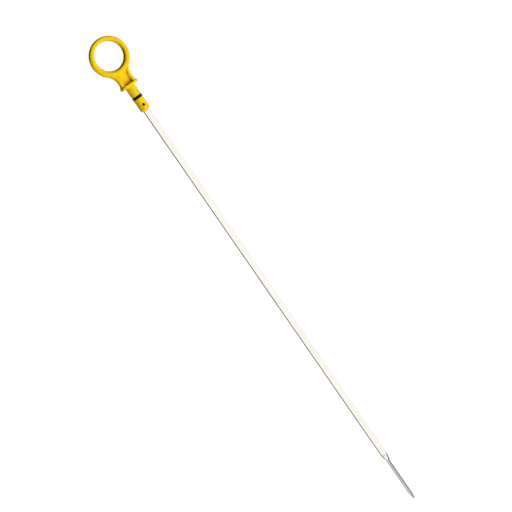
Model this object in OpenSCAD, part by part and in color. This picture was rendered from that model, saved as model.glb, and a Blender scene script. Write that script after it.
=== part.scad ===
// Engine oil dipstick, lying on its stop plate and on the edge of its twisted end.
// Millimetres. +X runs along the stick towards its tip, +Y across the finger ring,
// +Z up. The origin is on the floor, under the middle of the stick's length.

/* [Finger ring] */
// Outside diameter of the ring
ring_d = 38; // [34:0.2:42]
// Diameter of the finger hole
ring_hole_d = 27.4; // [24:0.2:30]
// How far the finger hole is set away from the web, which thickens the band there
ring_hole_shift = 0.7; // [0:0.1:1]
// Thickness of the ring and of the rims on the web
grip_t = 5.7; // [5.5:0.1:7]
// Radius on the edges of the ring, and on the outer edges of the rims
grip_edge_r = 2.1; // [1.2:0.1:2.4]
// Radius on the edges of the finger hole
hole_edge_r = 2.7; // [1.2:0.1:2.7]

/* [Web] */
// Length of the web, from the outside of the ring to the seat under the stop plate
web_len = 13.3; // [12:0.1:16]
// Width of the web at its waist
web_w = 15.3; // [14:0.1:15.6]
// Thickness of the plate between the rims
web_plate_t = 2; // [1.4:0.1:3]
// Width of each rim
rim_w = 3; // [2.6:0.1:3.4]
// Radius on the inner edges of the rims, beside the sunk panels
rim_inner_r = 0.5; // [0.2:0.1:0.8]
// Radius of the hollow between the ring and the waist
neck_in_r = 13.5; // [10:0.5:14]
// Radius of the flare between the waist and the stop plate
flare_r = 12; // [6:0.5:14]

/* [Stop plate] */
// Width of the stop plate, across the ring
stop_w = 18.6; // [18:0.1:20]
// Height of the stop plate, through the ring
stop_h = 10; // [9.8:0.1:13]
// Thickness of the stop plate along the stick
stop_t = 2.7; // [2:0.1:4]
// Radius on the edges of the stop plate
stop_edge_r = 0.8; // [0.3:0.1:0.9]

/* [Plug] */
// Diameter of the plug that fills the dipstick tube
plug_d = 9.6; // [9:0.1:11]
// Length of the plug from the seat to its end
plug_len = 26.4; // [25:0.1:32]
// Radius on the plug's end
plug_end_r = 2.7; // [1:0.1:3]
// From the seat to the middle of the O-ring
seal_at = 11.7; // [9:0.1:13]
// Chamfer on the two shoulders of the O-ring groove
groove_chamfer = 0.15; // [0.1:0.05:0.4]

/* [O-ring] */
// Outside diameter of the O-ring on the plug
seal_d = 10.3; // [9.8:0.1:11.4]
// Thickness of the O-ring's cord
seal_cord = 2.3; // [1.6:0.1:2.4]
// Room beside the O-ring in its groove
seal_room = 0.1; // [0.05:0.05:0.3]
// Gap between the O-ring and the floor of its groove
seal_gap = 0.02; // [0.01:0.01:0.05]

/* [Blade] */
// Width of the steel strip
blade_w = 6; // [5:0.1:6.4]
// Thickness of the steel strip
blade_t = 1.6; // [0.8:0.1:1.8]
// Chamfer on the strip's long edges
blade_chamfer = 0.2; // [0.1:0.05:0.3]
// From the seat to the tip
blade_reach = 482; // [400:1:700]
// From the seat to the start of the strip, inside the plug
tang_at = 15.4; // [14:0.1:16]
// Length over which the strip turns on edge
twist_len = 12; // [10:1:30]
// Angle through which the strip turns
twist_angle = 90; // [70:1:90]
// Length of the strip beyond the twist
end_len = 47; // [30:1:80]
// Length of the pointed tip
tip_len = 7; // [4:0.5:10]
// Radius on the pointed tip
tip_r = 1; // [0.5:0.1:1.5]
// Gap between the strip and its socket, each side
socket_gap = 0.05; // [0.02:0.01:0.1]

/* [Retaining pin] */
// Outside diameter of the slotted spring pin
pin_d = 2; // [1.5:0.1:2.5]
// Length of the spring pin
pin_len = 7.2; // [7:0.1:8.4]
// Wall of the spring pin
pin_wall = 0.4; // [0.3:0.05:0.5]
// Slot along the spring pin
pin_slot = 0.4; // [0.3:0.05:0.6]
// From the seat to the pin
pin_at = 20; // [18:0.1:21]
// Gap round the pin in its hole
pin_gap = 0.02; // [0.01:0.01:0.05]

/* [Hidden] */

$fn = 96;
// How far a cutter runs past the face that it opens
past = 1;
// How far joined shapes run into each other
lap = 0.3;

ring_r = ring_d / 2;
ring_reach = ring_r + web_len;
web_half = web_w / 2;

// Curved sides run this little into the one before, so that they cross instead of touching.
sink = 0.06;

// The hollow arc touches the side of the waist and runs into the ring's outside.
hollow_y = web_half + neck_in_r;
hollow_dx = sqrt(pow(ring_r + neck_in_r - sink, 2) - pow(hollow_y, 2));
hollow_x = hollow_dx - ring_reach;
hollow_angle = atan2(hollow_y, hollow_dx);

// The flare leaves the side of the waist and ends just inside the end of the stop plate.
flare_rise = stop_w / 2 - stop_edge_r - web_half + sink;
flare_run = sqrt(flare_rise * (2 * flare_r - flare_rise));
flare_angle = asin(min(1, (flare_run + lap) / flare_r));

// Groove floor and width follow the O-ring.
groove_r = seal_d / 2 - seal_cord - seal_gap;
groove_w = seal_cord + 2 * seal_room;

twist_x = blade_reach - end_len - twist_len;
end_x = blade_reach - end_len;

// At rest the stop plate and the lower edge of the twisted end touch the floor.
end_half = max((blade_w / 2 - blade_chamfer) * sin(twist_angle) + blade_t / 2 * cos(twist_angle),
    blade_w / 2 * sin(twist_angle) + (blade_t / 2 - blade_chamfer) * cos(twist_angle));
drop = stop_h / 2 - end_half;
rest_span = blade_reach - tip_len + stop_edge_r;
rest_pitch = asin(drop / rest_span);
rest_lift = (stop_h / 2 - stop_edge_r) * cos(rest_pitch) + stop_edge_r * (1 - sin(rest_pitch));
far_x = -(ring_reach + ring_r);
mid_x = (far_x + blade_reach) / 2;

// Rectangle with four round corners, centred on the origin.
module round_rect(w, h, r) {
    square([w - 2 * r, h], center = true);
    square([w, h - 2 * r], center = true);
    for (sx = [-1, 1], sy = [-1, 1])
        translate([sx * (w / 2 - r), sy * (h / 2 - r)]) circle(r);
}

// Section of a rim. Its side at x = 0 is the outer one, where the edges are rounded more.
module rim_section(width = rim_w) {
    intersection() {
        translate([width, 0]) round_rect(2 * width, grip_t, grip_edge_r);
        round_rect(2 * width, grip_t, rim_inner_r);
    }
}

// Length of rounded bar along X whose outer side faces +Y at y = 0.
module straight_rim(len) {
    rotate([90, 0, 90]) linear_extrude(len) mirror([1, 0]) rim_section();
}

// Curved rim that starts along X at the same place and bends away towards +Y.
module curved_rim(r, turn, width = rim_w) {
    translate([0, r]) rotate([0, 0, 270])
        rotate_extrude(angle = turn, $fn = 180) translate([r, 0]) rim_section(width);
}

// One rim of the web: hollow arc from the ring, straight run into the stop plate, and the
// flare, which widens only the outer side.
module rim() {
    translate([hollow_x, web_half]) {
        mirror([1, 0]) curved_rim(neck_in_r, 90 - hollow_angle);
        straight_rim(-hollow_x - stop_t / 2);
    }
    translate([-stop_t - flare_run, web_half - sink]) intersection() {
        curved_rim(flare_r, flare_angle, 2 * rim_w);
        translate([0, rim_inner_r + lap - rim_w, -grip_t])
            cube([flare_run + stop_t / 2, stop_w, 2 * grip_t]);
    }
}

// Outline of the thin plate between the rims, from inside the ring to inside the stop plate.
module plate_outline() {
    half = ring_r * sin(hollow_angle);
    difference() {
        translate([-ring_reach, -half]) square([ring_reach - stop_t / 2, 2 * half]);
        for (flip = [0, 1]) mirror([0, flip]) translate([hollow_x, web_half]) {
            translate([0, neck_in_r]) circle(neck_in_r + rim_w / 2, $fn = 180);
            translate([0, -rim_w / 2]) square([-hollow_x, ring_r]);
        }
    }
}

// Solid disc with rounded edges that the finger hole is cut from.
module ring_disc() {
    rotate_extrude($fn = 180) {
        square([ring_r - grip_edge_r, grip_t / 2]);
        mirror([0, 1]) square([ring_r - grip_edge_r, grip_t / 2]);
        intersection() {
            translate([ring_r / 2, 0]) round_rect(ring_r, grip_t, grip_edge_r);
            translate([0, -grip_t]) square([ring_r, 2 * grip_t]);
        }
    }
}

// Cutter for the finger hole, flared by a round edge at both faces.
module finger_hole() {
    hole_r = ring_hole_d / 2;
    rotate_extrude($fn = 180) difference() {
        translate([0, -grip_t / 2 - past]) square([hole_r + hole_edge_r, grip_t + 2 * past]);
        translate([hole_r + ring_r / 2, 0]) round_rect(ring_r, grip_t, hole_edge_r);
    }
}

// Oblong stop plate with round ends and rounded edges, its seat at x = 0.
module stop_plate() {
    reach_y = (stop_w - stop_h) / 2;
    translate([-stop_t / 2, 0, 0]) {
        for (side = [-1, 1])
            translate([0, side * reach_y, 0]) rotate([0, 90, 0]) rotate_extrude() {
                intersection() {
                    round_rect(stop_h, stop_t, stop_edge_r);
                    translate([0, -stop_t]) square([stop_h, 2 * stop_t]);
                }
            }
        rotate([90, 0, 0]) linear_extrude(2 * reach_y, center = true)
            round_rect(stop_t, stop_h, stop_edge_r);
    }
}

// Half section of the plug, with its axis on x = 0 and the seat at y = 0.
module plug_section() {
    r = plug_d / 2;
    g = groove_w / 2;
    difference() {
        union() {
            translate([0, -stop_t / 2]) square([r, plug_len - plug_end_r + stop_t / 2]);
            square([r - plug_end_r, plug_len]);
            intersection() {
                translate([r - plug_end_r, plug_len - plug_end_r]) circle(plug_end_r);
                square([r, plug_len]);
            }
        }
        polygon([
            [groove_r, seal_at - g],
            [r - groove_chamfer, seal_at - g],
            [r + past, seal_at - g - groove_chamfer - past],
            [r + past, seal_at + g + groove_chamfer + past],
            [r - groove_chamfer, seal_at + g],
            [groove_r, seal_at + g]
        ]);
    }
}

// Solid plug along X.
module plug() {
    rotate([90, 0, 90]) rotate_extrude() plug_section();
}

// Section of the steel strip, its width along x.
module strip_section(grow = 0) {
    w = blade_w / 2 + grow;
    t = blade_t / 2 + grow;
    c = blade_chamfer;
    polygon([
        [w - c, -t], [w, -t + c], [w, t - c], [w - c, t],
        [c - w, t], [-w, t - c], [-w, c - t], [c - w, -t]
    ]);
}

// Straight length of strip along X.
module strip(len, grow = 0) {
    rotate([90, 0, 90]) linear_extrude(len) strip_section(grow);
}

// Outline of the pointed end in the plane of the strip, its tip at x = len.
module end_outline(len) {
    half = blade_w / 2;
    slope = atan2(half - tip_r, tip_len - tip_r);
    translate([len - tip_r, 0]) circle(tip_r);
    polygon([
        [-past, half + past],
        [len - tip_len, half + past],
        [len - tip_len, half],
        [len - tip_r + tip_r * sin(slope), tip_r * cos(slope)],
        [len - tip_r + tip_r * sin(slope), -tip_r * cos(slope)],
        [len - tip_len, -half],
        [len - tip_len, -half - past],
        [-past, -half - past]
    ]);
}

// The stick's own axis lies along X here. This lays it on the floor.
module lay_down() {
    translate([-mid_x, 0, rest_lift]) rotate([0, rest_pitch, 0]) children();
}

module handle() {
    color([0.95, 0.78, 0.06]) lay_down() difference() {
        union() {
            translate([-ring_reach, 0, 0]) ring_disc();
            rim();
            mirror([0, 1, 0]) rim();
            linear_extrude(web_plate_t, center = true) plate_outline();
            stop_plate();
            plug();
        }
        translate([-ring_reach - ring_hole_shift, 0, 0]) finger_hole();
        translate([tang_at, 0, 0]) strip(plug_len - tang_at + past, socket_gap);
        translate([pin_at, 0, 0]) cylinder(h = plug_d + past, d = pin_d + 2 * pin_gap, center = true);
    }
}

module o_ring() {
    color([0.06, 0.06, 0.06]) lay_down() translate([seal_at, 0, 0])
        rotate([0, 90, 0]) rotate_extrude()
            translate([(seal_d - seal_cord) / 2, 0]) circle(d = seal_cord, $fn = 48);
}

module blade() {
    color([0.86, 0.85, 0.82]) lay_down() difference() {
        union() {
            translate([tang_at, 0, 0]) strip(twist_x - tang_at);
            translate([twist_x, 0, 0]) rotate([90, 0, 90])
                linear_extrude(twist_len, twist = -twist_angle, slices = 36, $fn = 12) strip_section();
            translate([end_x, 0, 0]) rotate([twist_angle, 0, 0]) intersection() {
                strip(end_len);
                linear_extrude(2 * blade_t, center = true) end_outline(end_len);
            }
        }
        translate([pin_at, 0, 0]) cylinder(h = blade_t + 2 * past, d = pin_d + 2 * pin_gap, center = true);
    }
}

module retaining_pin() {
    color([0.2, 0.2, 0.21]) lay_down() translate([pin_at, 0, 0])
        linear_extrude(pin_len, center = true) difference() {
            circle(d = pin_d);
            circle(d = pin_d - 2 * pin_wall);
            translate([0, -pin_slot / 2]) square([pin_d, pin_slot]);
        }
}

handle();
o_ring();
blade();
retaining_pin();
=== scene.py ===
"""Engine oil dipstick on a pale studio floor.

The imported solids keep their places. This script gives them their finishes, and adds the
floor, the lights and the camera. Lengths are metres unless a name ends in _MM.
"""

import math

import bpy
import numpy as np
from mathutils import Matrix, Vector

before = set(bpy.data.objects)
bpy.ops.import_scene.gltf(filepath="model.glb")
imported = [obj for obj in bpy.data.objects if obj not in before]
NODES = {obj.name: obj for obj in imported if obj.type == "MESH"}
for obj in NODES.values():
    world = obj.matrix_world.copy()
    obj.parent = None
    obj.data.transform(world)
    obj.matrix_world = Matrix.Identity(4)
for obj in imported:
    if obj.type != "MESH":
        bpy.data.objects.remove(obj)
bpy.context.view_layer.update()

# The stick's own frame, as it lies on the floor: x = 0 is the seat under the stop plate.
MM = 0.001
BLADE_REACH_MM = 482.0
RING_FAR_MM = -51.3
TWIST_START_MM = 423.0
END_START_MM = 435.0
TIP_LEN_MM = 7.0
STOP_HALF_HEIGHT_MM = 5.0
STOP_EDGE_RADIUS_MM = 0.8
BLADE_WIDTH_MM = 6.0
STOP_SIDE_MM = -2.7
HOLE_X_MM = -33.0
HOLE_RADIUS_MM = 13.7
SEAL_AT_MM = 11.7
GROOVE_HALF_MM = 1.35
PIN_AT_MM = 20.0
PIN_RADIUS_MM = 1.0
# It rests on the stop plate and on the lower edge of the turned end, which gives the pitch
# of its axis and the lift of its seat.
FALL_MM = STOP_HALF_HEIGHT_MM - BLADE_WIDTH_MM / 2
PITCH = math.asin(FALL_MM / (BLADE_REACH_MM - TIP_LEN_MM + STOP_EDGE_RADIUS_MM))
STOP_FLAT_MM = STOP_HALF_HEIGHT_MM - STOP_EDGE_RADIUS_MM
LIFT_MM = STOP_FLAT_MM * math.cos(PITCH) + STOP_EDGE_RADIUS_MM * (1 - math.sin(PITCH))
MIDDLE_MM = (RING_FAR_MM + BLADE_REACH_MM) / 2
STICK_AXIS = Vector((math.cos(PITCH), 0.0, -math.sin(PITCH)))

# Marks on the handle. An edge is where a mark starts to fade and where it is gone.
FLASH_HALF_MM = 0.03
FLASH_SOFT_MM = 0.06
# The underside edge, the spot at the pin hole, and the hole and corner places below are for
# painted shade.
UNDERSIDE_SHADE_EDGE_MM = (-2.2, 0.6)
PIN_SHADE_SIDE_MM = -0.25
PIN_SHADE_RADIUS_MM = PIN_RADIUS_MM + 0.25
RECESS_SHADE_SOFT_MM = 0.2
HOLE_SHADE = 0.85
HOLE_SHADE_EDGE_MM = (HOLE_RADIUS_MM + 0.4, HOLE_RADIUS_MM + 2.6)
# The way from the hole's middle, in x and y, in which its painted shade is strongest. The
# spread is the share of that way at which the shade starts and at which it is full.
HOLE_SHADE_WAY = (0.8, 0.6)
HOLE_SHADE_SPREAD = (0.1, 0.9)
# The painted shade in the corner at the stop plate: middle, half length and fade along x,
# then half length and fade along y and along z.
CORNER_SHADE = 0.6
CORNER_X_MM = (STOP_SIDE_MM - 0.5, 0.6, 1.4)
CORNER_Y_MM = (4.2, 1.6)
CORNER_Z_MM = (2.2, 0.7)

# Marks on the blade. The matt finish starts at the first of its two places and is full at
# the second. The two sizes of a hatch groove are the half widths of its bottom and its top.
# Widths of the painted shade strip along the blade's lower edge, on the flat and on the turned
# end, and its fade.
LOWER_SHADE_MM = 0.4
TURNED_LOWER_SHADE_MM = 1.7
LOWER_SHADE_SOFT_MM = 0.1
MATT_FROM_MM = (END_START_MM - 3.0, END_START_MM + 1.0)
FIELD_AT_MM = END_START_MM + 17.0
FIELD_HALF_MM = 9.0
FIELD_SOFT_MM = 0.3
HATCH_PITCH_MM = 1.1
HATCH_GROOVE_MM = (0.12, 0.3)

# Linear colours.
DEEP_YELLOW = (0.88, 0.60, 0.003, 1.0)
LIGHT_YELLOW = (0.93, 0.65, 0.004, 1.0)
SPECK_YELLOW = (0.62, 0.35, 0.004, 1.0)
# Painted shade colours for the handle's steep sides, underside, finger hole and corner, and seal
# groove and pin hole.
STEEP_SHADE_YELLOW = (0.80, 0.40, 0.001, 1.0)
UNDERSIDE_SHADE_YELLOW = (0.28, 0.14, 0.002, 1.0)
BROWN_SHADE = (0.34, 0.14, 0.002, 1.0)
RECESS_SHADE = (0.03, 0.02, 0.001, 1.0)
RUBBER = (0.004, 0.004, 0.004, 1.0)
OILY_RUBBER = (0.010, 0.010, 0.011, 1.0)
BRIGHT_STEEL = (0.985, 0.96, 0.88, 1.0)
STAINED_STEEL = (0.94, 0.91, 0.83, 1.0)
GRAIN_STEEL = (0.80, 0.79, 0.76, 1.0)
MATT_STEEL = (0.66, 0.655, 0.64, 1.0)
STAINED_MATT_STEEL = (0.58, 0.575, 0.56, 1.0)
# The sheared edges' dark is partly their own rough tone and partly painted shade; the lower edge
# strip's colour below is painted shade.
SHEARED_AND_SHADE_STEEL = (0.045, 0.045, 0.05, 1.0)
SHEARED_MATT_STEEL = (0.33, 0.33, 0.33, 1.0)
LOWER_SHADE_STEEL = (0.06, 0.06, 0.06, 1.0)
DARK_SPRING = (0.015, 0.015, 0.016, 1.0)
LIGHT_SPRING = (0.035, 0.035, 0.038, 1.0)
DARK_TABLE = (0.04, 0.04, 0.04, 1.0)
LIGHT_TABLE = (0.05, 0.05, 0.05, 1.0)
WHITE = (1.0, 1.0, 1.0, 1.0)

# The camera, worked out from the ring, the stop plate, the plug and the blade in the photo.
EYE_MM = (-92.2, -397.3, 1339.5)
AIM_MM = (196.2, 7.3, 0.0)
SLANT = math.radians(34.57)
FOCAL_PIXELS = 1527.93
PICTURE_PIXELS = 512
SENSOR_MM = 36.0
NEAR_LIMIT = 0.05
FAR_LIMIT = 50.0

# The floor and the lights. The surroundings grow from their light at the horizon to white
# at a share of the height overhead.
FLOOR_HALF = 6.0
TABLE_GLOW = 0.965
HORIZON_LIGHT = 0.6
WHITE_HEIGHT = 0.7
# Each soft box: name, azimuth from +X towards +Y and elevation in degrees, power in watts.
SOFT_BOXES = (
    ("high_light", 60.0, 60.0, 12.0),
    ("far_side_light", 90.0, 35.0, 19.5),
    ("near_side_light", 328.0, 36.0, 22.0),
)
BOX_AIM = Vector((-0.2, 0.0, 0.0))
BOX_DISTANCE = 1.8
BOX_SIZE = 0.9


def on_floor(x, y, z):
    """A place on the stick, in millimetres, as it lies in the row frame, in metres."""
    return Vector(
        (
            x * math.cos(PITCH) + z * math.sin(PITCH) - MIDDLE_MM,
            y,
            -x * math.sin(PITCH) + z * math.cos(PITCH) + LIFT_MM,
        )
    ) * MM


class Value:
    """A shader socket that takes part in Python arithmetic."""

    def __init__(self, shader, socket):
        self.shader = shader
        self.socket = socket

    def _math(self, operation, *others):
        return self.shader.node(
            "ShaderNodeMath", {"operation": operation}, {0: self, **dict(enumerate(others, 1))}
        )

    def __add__(self, other):
        return self._math("ADD", other)

    __radd__ = __add__

    def __mul__(self, other):
        return self._math("MULTIPLY", other)

    __rmul__ = __mul__

    def __sub__(self, other):
        return self._math("SUBTRACT", other)

    def __rsub__(self, other):
        return self.shader.node("ShaderNodeMath", {"operation": "SUBTRACT"}, {0: other, 1: self})

    def __truediv__(self, other):
        return self._math("DIVIDE", other)

    def __neg__(self):
        return self * -1.0

    def __abs__(self):
        return self._math("ABSOLUTE")

    def power(self, exponent):
        return self._math("POWER", exponent)

    def smaller(self, other):
        return self._math("MINIMUM", other)

    def larger(self, other):
        return self._math("MAXIMUM", other)

    def sine(self):
        return self._math("SINE")

    def cosine(self):
        return self._math("COSINE")

    def fold(self, pitch):
        """Triangle wave of the value, 0 to half the pitch."""
        return self._math("PINGPONG", pitch / 2)

    def step(self, low, high):
        """0 below low, 1 above high, smooth between."""
        return self.shader.node(
            "ShaderNodeMapRange",
            {"interpolation_type": "SMOOTHSTEP"},
            {"Value": self, "From Min": low, "From Max": high},
        )

    def band(self, centre, half, soft):
        """1 within half of the centre, falling to 0 over soft."""
        return 1.0 - abs(self - centre).step(half, half + soft)


class Shader:
    """Builds the nodes of one material, or of the world."""

    def __init__(self, owner, last_node="ShaderNodeOutputMaterial"):
        owner.use_nodes = True
        self.owner = owner
        self.tree = owner.node_tree
        self.tree.nodes.clear()
        self.output = self.tree.nodes.new(last_node)

    def node(self, kind, settings=None, inputs=None, output=0):
        """Adds a node: its settings first, then the values or links of its sockets."""
        made = self.tree.nodes.new(kind)
        for key, value in (settings or {}).items():
            setattr(made, key, value)
        for key, value in (inputs or {}).items():
            self.feed(made.inputs[key], value)
        return Value(self, made.outputs[output])

    def feed(self, socket, value):
        """Links a value to a socket, or sets the socket to a number or a colour."""
        if isinstance(value, Value):
            self.tree.links.new(value.socket, socket)
        else:
            socket.default_value = value

    def vector(self, x, y, z):
        return self.node("ShaderNodeCombineXYZ", inputs={0: x, 1: y, 2: z})

    def parts(self, vector):
        """The x, y and z of a vector."""
        split = self.node("ShaderNodeSeparateXYZ", inputs={0: vector})
        return [Value(self, socket) for socket in split.socket.node.outputs]

    def coordinates(self, name):
        """One of the texture coordinates, by its name."""
        return self.node("ShaderNodeTexCoord", output=name)

    def stick_frame(self):
        """Object coordinates turned into the stick's own frame, in millimetres."""
        x, y, z = self.parts(self.coordinates("Object"))
        x, z = x / MM + MIDDLE_MM, z / MM - LIFT_MM
        along = x * math.cos(PITCH) - z * math.sin(PITCH)
        height = x * math.sin(PITCH) + z * math.cos(PITCH)
        return along, y / MM, height

    def noise(self, place, scale, detail, roughness=0.5):
        return self.node(
            "ShaderNodeTexNoise",
            inputs={"Vector": place, "Scale": scale, "Detail": detail, "Roughness": roughness},
        )

    def blend(self, factor, first, second):
        """Mix of two colours, which go into the node's inputs 6 and 7 and leave at output 2."""
        return self.node(
            "ShaderNodeMix",
            {"data_type": "RGBA", "clamp_factor": True},
            {0: factor, 6: first, 7: second},
            output=2,
        )

    def bump(self, height, distance, strength, normal=None):
        """Relief of a height from 0 to 1, which stands for the distance in metres, over the
        relief of an earlier bump."""
        inputs = {"Height": height, "Distance": distance, "Strength": strength}
        if normal is not None:
            inputs["Normal"] = normal
        return self.node("ShaderNodeBump", inputs=inputs)

    def surface(self, **inputs):
        """Principled surface; socket names have underscores for spaces."""
        named = {key.replace("_", " "): value for key, value in inputs.items()}
        skin = self.node("ShaderNodeBsdfPrincipled", inputs=named)
        self.feed(self.output.inputs["Surface"], skin)
        return self.owner


def length(x, y):
    """Root of x squared plus y squared."""
    return (x * x + y * y).power(0.5)


def painted_shade_on_handle(x, y, z):
    """Share of painted brown shade: round the web side of the finger hole, where it grows
    towards its way and fades away from the hole, and in the corner between the web and the
    stop plate, where it stands for the stop plate's shadow."""
    over_x = x - HOLE_X_MM
    from_hole = length(over_x, y)
    towards_web = (over_x * HOLE_SHADE_WAY[0] + y * HOLE_SHADE_WAY[1]) / from_hole
    at_hole = towards_web.step(*HOLE_SHADE_SPREAD) * (1.0 - from_hole.step(*HOLE_SHADE_EDGE_MM))
    corner = x.band(*CORNER_X_MM) * y.band(0.0, *CORNER_Y_MM) * z.band(0.0, *CORNER_Z_MM)
    return (at_hole * HOLE_SHADE).larger(corner * CORNER_SHADE)


def painted_recess_shade(x, y):
    """Share of painted near-black shade: in the seal groove, and round the pin hole a little to
    one side.
    """
    from_spot = length(x - PIN_AT_MM, y - PIN_SHADE_SIDE_MM)
    at_pin = from_spot.band(0.0, PIN_SHADE_RADIUS_MM, RECESS_SHADE_SOFT_MM)
    return at_pin.larger(x.band(SEAL_AT_MM, GROOVE_HALF_MM, RECESS_SHADE_SOFT_MM))


def yellow_plastic():
    """Satin yellow moulding: fine tool texture, faint flow clouding and a flash line. Painted
    shade makes its steep sides a deeper orange and its underside dark, lies brown in the
    finger hole beside the web and in the corner at the stop plate, and darkens the seal
    groove and the pin hole near black."""
    s = Shader(bpy.data.materials.new("yellow_plastic"))
    x, y, z = s.stick_frame()
    place = s.vector(x, y, z)
    clouds = s.noise(place, scale=0.12, detail=4.0, roughness=0.55)
    specks = s.noise(place, scale=1.6, detail=5.0, roughness=0.65)
    grain = s.noise(place, scale=5.5, detail=2.0)
    _, _, facing_z = s.parts(s.coordinates("Normal"))
    steep_shade = 1.0 - abs(facing_z).step(0.15, 0.75)
    underside_shade = 1.0 - z.step(*UNDERSIDE_SHADE_EDGE_MM)

    tone = s.blend(clouds.step(0.3, 0.7), DEEP_YELLOW, LIGHT_YELLOW)
    tone = s.blend(specks.step(0.62, 0.8) * 0.06, tone, SPECK_YELLOW)
    # Painted shade: a deeper orange on steep sides, dark on the underside, near black in the
    # groove and the pin hole, and brown in the finger hole and corner.
    tone = s.blend(steep_shade * 0.6, tone, STEEP_SHADE_YELLOW)
    tone = s.blend(underside_shade * 0.8, tone, UNDERSIDE_SHADE_YELLOW)
    tone = s.blend(painted_recess_shade(x, y), tone, RECESS_SHADE)
    tone = s.blend(painted_shade_on_handle(x, y, z), tone, BROWN_SHADE)
    relief = s.bump(grain, distance=0.00002, strength=0.1)
    flash = z.band(0.0, FLASH_HALF_MM, FLASH_SOFT_MM)
    relief = s.bump(flash, distance=0.00006, strength=0.7, normal=relief)
    return s.surface(
        Base_Color=tone,
        Roughness=0.36 + clouds * 0.1 + specks * 0.06,
        Specular_IOR_Level=0.06,
        Normal=relief,
    )


def black_rubber():
    """Moulded nitrile O-ring: near black and slightly oily, with a fine grain."""
    s = Shader(bpy.data.materials.new("black_rubber"))
    place = s.vector(*s.stick_frame())
    film = s.noise(place, scale=0.5, detail=3.0)
    grain = s.noise(place, scale=9.0, detail=2.0)
    return s.surface(
        Base_Color=s.blend(film.step(0.35, 0.7), RUBBER, OILY_RUBBER),
        Roughness=0.45 + film * 0.2,
        Specular_IOR_Level=0.1,
        Normal=s.bump(grain, distance=0.00001, strength=0.5),
    )


def blade_steel():
    """Bright rolled strip with dark sheared edges, their dark partly their own rough tone and
    partly painted shade, and a painted shade strip beside the lower one, its grain and stains
    drawn out along it. Its turned end is matt grey with a wider painted shade strip, and has
    a hatched field that shows the oil level."""
    s = Shader(bpy.data.materials.new("blade_steel"))
    x, y, z = s.stick_frame()
    grain = s.noise(s.vector(x * 0.05, y * 7.0, z * 7.0), scale=1.0, detail=4.0, roughness=0.6)
    stains = s.noise(s.vector(x * 0.03, y * 0.4, z * 0.4), scale=1.0, detail=3.0)

    # The quarter turn, the place across the strip, and how far a face is a flat of it.
    turn = (x - TWIST_START_MM) / (END_START_MM - TWIST_START_MM) * (math.pi / 2)
    turn = turn.larger(0.0).smaller(math.pi / 2)
    across = y * turn.cosine() + z * turn.sine()
    _, facing_y, facing_z = s.parts(s.coordinates("Normal"))
    flat = abs(facing_z * turn.cosine() - facing_y * turn.sine())
    # A painted shade strip along the lower edge, which widens over the quarter turn.
    wider = (TURNED_LOWER_SHADE_MM - LOWER_SHADE_MM) * x.step(TWIST_START_MM, END_START_MM)
    inside = BLADE_WIDTH_MM / 2 - LOWER_SHADE_MM - wider
    lower_shade = (-across - inside).step(-LOWER_SHADE_SOFT_MM, LOWER_SHADE_SOFT_MM)
    # The sheared edges are dark partly in their own rough tone and partly as painted shade, and
    # take in the painted strip.
    edges_and_lower_shade = (1.0 - flat.step(0.5, 0.9)).larger(lower_shade)
    turned = x.step(*MATT_FROM_MM)

    bright = s.blend(stains.step(0.3, 0.75), BRIGHT_STEEL, STAINED_STEEL)
    bright = s.blend(grain.step(0.5, 0.9) * 0.3, bright, GRAIN_STEEL)
    tone = s.blend(turned, bright, s.blend(stains, MATT_STEEL, STAINED_MATT_STEEL))
    tone = s.blend(edges_and_lower_shade, tone, s.blend(turned, SHEARED_AND_SHADE_STEEL, SHEARED_MATT_STEEL))
    tone = s.blend(lower_shade, tone, LOWER_SHADE_STEEL)
    field = x.band(FIELD_AT_MM, FIELD_HALF_MM, FIELD_SOFT_MM) * (1.0 - edges_and_lower_shade)
    rising = (x + z).fold(HATCH_PITCH_MM).step(*HATCH_GROOVE_MM)
    falling = (x - z).fold(HATCH_PITCH_MM).step(*HATCH_GROOVE_MM)
    hatch = 1.0 - field * (1.0 - rising.smaller(falling))
    relief = s.bump(grain, distance=0.000012, strength=0.5)
    return s.surface(
        Base_Color=tone,
        Metallic=1.0,
        Roughness=0.2 + grain * 0.12 + stains * 0.08 + turned * 0.1 + edges_and_lower_shade * 0.25,
        Normal=s.bump(hatch, distance=0.00012, strength=0.8, normal=relief),
    )


def pin_steel():
    """Dark spring steel with a fine drawn grain."""
    s = Shader(bpy.data.materials.new("pin_steel"))
    x, y, z = s.stick_frame()
    grain = s.noise(s.vector(x * 6.0, y * 6.0, z * 0.6), scale=1.0, detail=3.0)
    return s.surface(
        Base_Color=s.blend(grain, DARK_SPRING, LIGHT_SPRING),
        Metallic=1.0,
        Roughness=0.35 + grain * 0.15,
        Normal=s.bump(grain, distance=0.00001, strength=0.4),
    )


def lit_table():
    """Back-lit white table top with a very fine tooth, which washes out most of the shadow."""
    s = Shader(bpy.data.materials.new("lit_table"))
    tooth = s.noise(s.coordinates("Object"), scale=900.0, detail=3.0)
    return s.surface(
        Base_Color=s.blend(tooth, DARK_TABLE, LIGHT_TABLE),
        Roughness=0.9,
        Specular_IOR_Level=0.1,
        Emission_Color=WHITE,
        Emission_Strength=TABLE_GLOW,
    )


FINISHES = {
    "handle": ("yellow_plastic", yellow_plastic()),
    "o_ring": ("black_rubber", black_rubber()),
    "blade": ("blade_steel", blade_steel()),
    "retaining_pin": ("pin_steel", pin_steel()),
}
for node_name, (slot_name, finish) in FINISHES.items():
    piece = NODES[node_name]
    for slot in piece.material_slots:
        slot.material = finish


def make_floor(half):
    """Flat square table top at z = 0, its corners at plus and minus half."""
    corners = np.array([[-1, -1, 0], [1, -1, 0], [1, 1, 0], [-1, 1, 0]], float) * half
    mesh = bpy.data.meshes.new("floor")
    mesh.from_pydata(corners.tolist(), [], [(0, 1, 2, 3)])
    mesh.materials.append(lit_table())
    floor = bpy.data.objects.new("floor", mesh)
    bpy.context.scene.collection.objects.link(floor)
    floor.visible_diffuse = False


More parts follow.
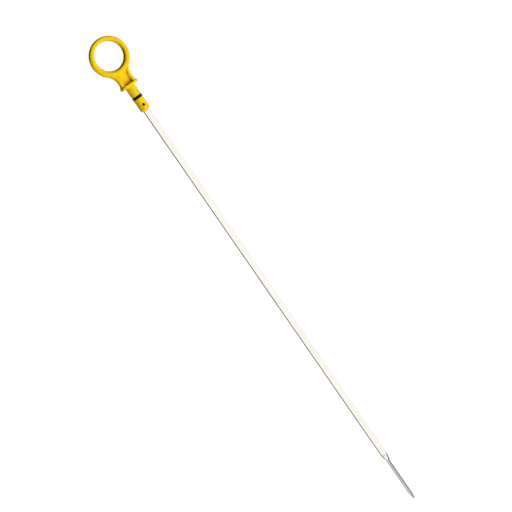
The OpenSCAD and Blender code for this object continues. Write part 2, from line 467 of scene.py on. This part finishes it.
def make_camera():
    """Camera at the photo's viewing angle. The stick leaves the picture's downward
    direction by the slant, and the picture's axes follow from that and the line of sight."""
    eye, aim = on_floor(*EYE_MM), on_floor(*AIM_MM)
    forward = (aim - eye).normalized()
    along = (STICK_AXIS - forward * STICK_AXIS.dot(forward)).normalized()
    across = forward.cross(along)
    right = math.sin(SLANT) * along - math.cos(SLANT) * across
    down = math.cos(SLANT) * along + math.sin(SLANT) * across
    data = bpy.data.cameras.new("camera")
    data.sensor_width = SENSOR_MM
    data.lens = FOCAL_PIXELS / PICTURE_PIXELS * SENSOR_MM
    data.clip_start = NEAR_LIMIT
    data.clip_end = FAR_LIMIT
    camera = bpy.data.objects.new("camera", data)
    axes = Matrix((right, -down, -forward)).transposed()
    camera.matrix_world = Matrix.Translation(eye) @ axes.to_4x4()
    bpy.context.scene.collection.objects.link(camera)
    bpy.context.scene.camera = camera


def soft_box(name, place, power):
    """Square area light that faces the handle, and shows in no reflection."""
    data = bpy.data.lights.new(name, "AREA")
    data.shape = "SQUARE"
    data.size = BOX_SIZE
    data.energy = power
    lamp = bpy.data.objects.new(name, data)
    lamp.location = place
    lamp.rotation_mode = "QUATERNION"
    lamp.rotation_quaternion = (BOX_AIM - place).to_track_quat("-Z", "Y")
    lamp.visible_glossy = False
    bpy.context.scene.collection.objects.link(lamp)


def make_surroundings():
    """Surroundings that are white overhead and greyer towards the horizon. The steel mirrors
    them, and they light no matt surface."""
    world = bpy.data.worlds.new("studio")
    s = Shader(world, "ShaderNodeOutputWorld")
    _, _, height = s.parts(s.coordinates("Generated"))
    light = HORIZON_LIGHT + (1.0 - HORIZON_LIGHT) * height.step(0.0, WHITE_HEIGHT)
    sky = s.node("ShaderNodeBackground", inputs={"Color": WHITE, "Strength": light})
    s.feed(s.output.inputs["Surface"], sky)
    world.cycles_visibility.diffuse = False
    bpy.context.scene.world = world


def light_the_handle():
    """Soft boxes round the handle, each at its azimuth and elevation."""
    for name, azimuth, elevation, power in SOFT_BOXES:
        turn, rise = math.radians(azimuth), math.radians(elevation)
        level = math.cos(rise)
        way = Vector((level * math.cos(turn), level * math.sin(turn), math.sin(rise)))
        soft_box(name, BOX_AIM + way * BOX_DISTANCE, power)


make_floor(FLOOR_HALF)
make_camera()
make_surroundings()
light_the_handle()
bpy.context.scene.view_settings.view_transform = "Standard"
